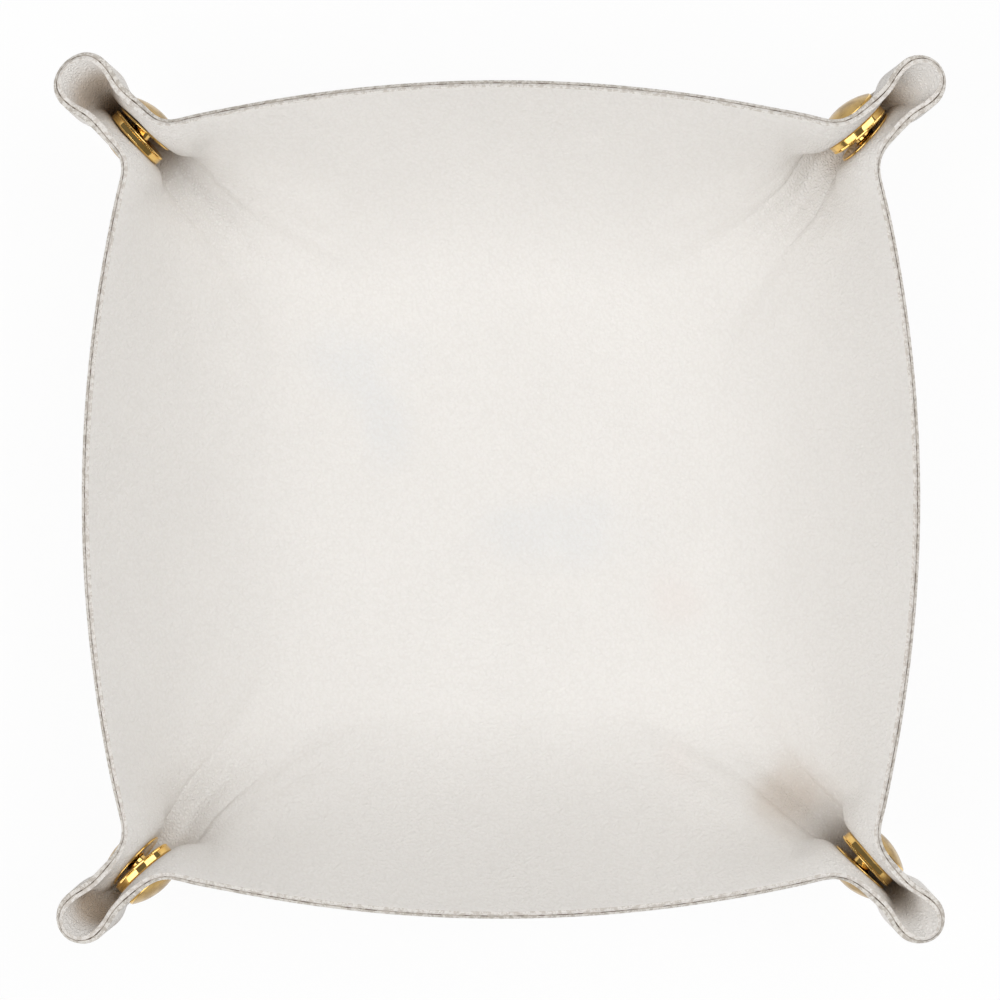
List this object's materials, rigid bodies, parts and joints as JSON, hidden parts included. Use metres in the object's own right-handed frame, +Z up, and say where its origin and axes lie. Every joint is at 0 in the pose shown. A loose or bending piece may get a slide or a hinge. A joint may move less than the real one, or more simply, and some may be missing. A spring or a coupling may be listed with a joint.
{
  "type": "valet tray",
  "caption": "Square tray folded from a glued double leather sheet: flat base, outward leaning bowed walls, and corners pinched into loops held by gold press studs.",
  "frame": {"origin": "middle of the underside, on the surface that the tray stands on", "axes": "+Z up out of the tray; +X and +Y square to the sides, so that the ears lie on the diagonals"},
  "size_m": [0.1994, 0.1994, 0.0389],
  "materials": {
    "inner_leather": "off-white, fine grain, satin",
    "outer_leather": "off-white, fine grain, satin",
    "gold_metal": "polished gold plate",
    "spring_steel": "drawn wire"
  },
  "bodies": {
    "tray": {"inner_leather": "inner_leather", "outer_leather": "outer_leather", "back_right_socket": "gold_metal", "back_right_spring_wires": "spring_steel", "back_right_socket_cap": "gold_metal", "back_left_socket": "gold_metal", "back_left_spring_wires": "spring_steel", "back_left_socket_cap": "gold_metal", "front_left_socket": "gold_metal", "front_left_spring_wires": "spring_steel", "front_left_socket_cap": "gold_metal", "front_right_socket": "gold_metal", "front_right_spring_wires": "spring_steel", "front_right_socket_cap": "gold_metal"},
    "back_right_stud_half": {"back_right_stud": "gold_metal", "back_right_stud_cap": "gold_metal"},
    "back_left_stud_half": {"back_left_stud": "gold_metal", "back_left_stud_cap": "gold_metal"},
    "front_left_stud_half": {"front_left_stud": "gold_metal", "front_left_stud_cap": "gold_metal"},
    "front_right_stud_half": {"front_right_stud": "gold_metal", "front_right_stud_cap": "gold_metal"}
  },
  "joints": [
    {"name": "back_right_snap_open", "type": "hinge", "parent": "tray", "child": "back_right_stud_half", "pos_m": [0.08238, 0.08238, 0.01586], "axis": [0.6749, 0.6749, 0.2983], "range_deg": [0, 30], "deforming": ["inner_leather", "outer_leather", "back_right_spring_wires"]},
    {"name": "back_left_snap_open", "type": "hinge", "parent": "tray", "child": "back_left_stud_half", "pos_m": [-0.08238, 0.08238, 0.01586], "axis": [-0.6749, 0.6749, 0.2983], "range_deg": [0, 30], "deforming": ["inner_leather", "outer_leather", "back_left_spring_wires"]},
    {"name": "front_left_snap_open", "type": "hinge", "parent": "tray", "child": "front_left_stud_half", "pos_m": [-0.08238, -0.08238, 0.01586], "axis": [-0.6749, -0.6749, 0.2983], "range_deg": [0, 30], "deforming": ["inner_leather", "outer_leather", "front_left_spring_wires"]},
    {"name": "front_right_snap_open", "type": "hinge", "parent": "tray", "child": "front_right_stud_half", "pos_m": [0.08238, -0.08238, 0.01586], "axis": [0.6749, -0.6749, 0.2983], "range_deg": [0, 30], "deforming": ["inner_leather", "outer_leather", "front_right_spring_wires"]}
  ]
}
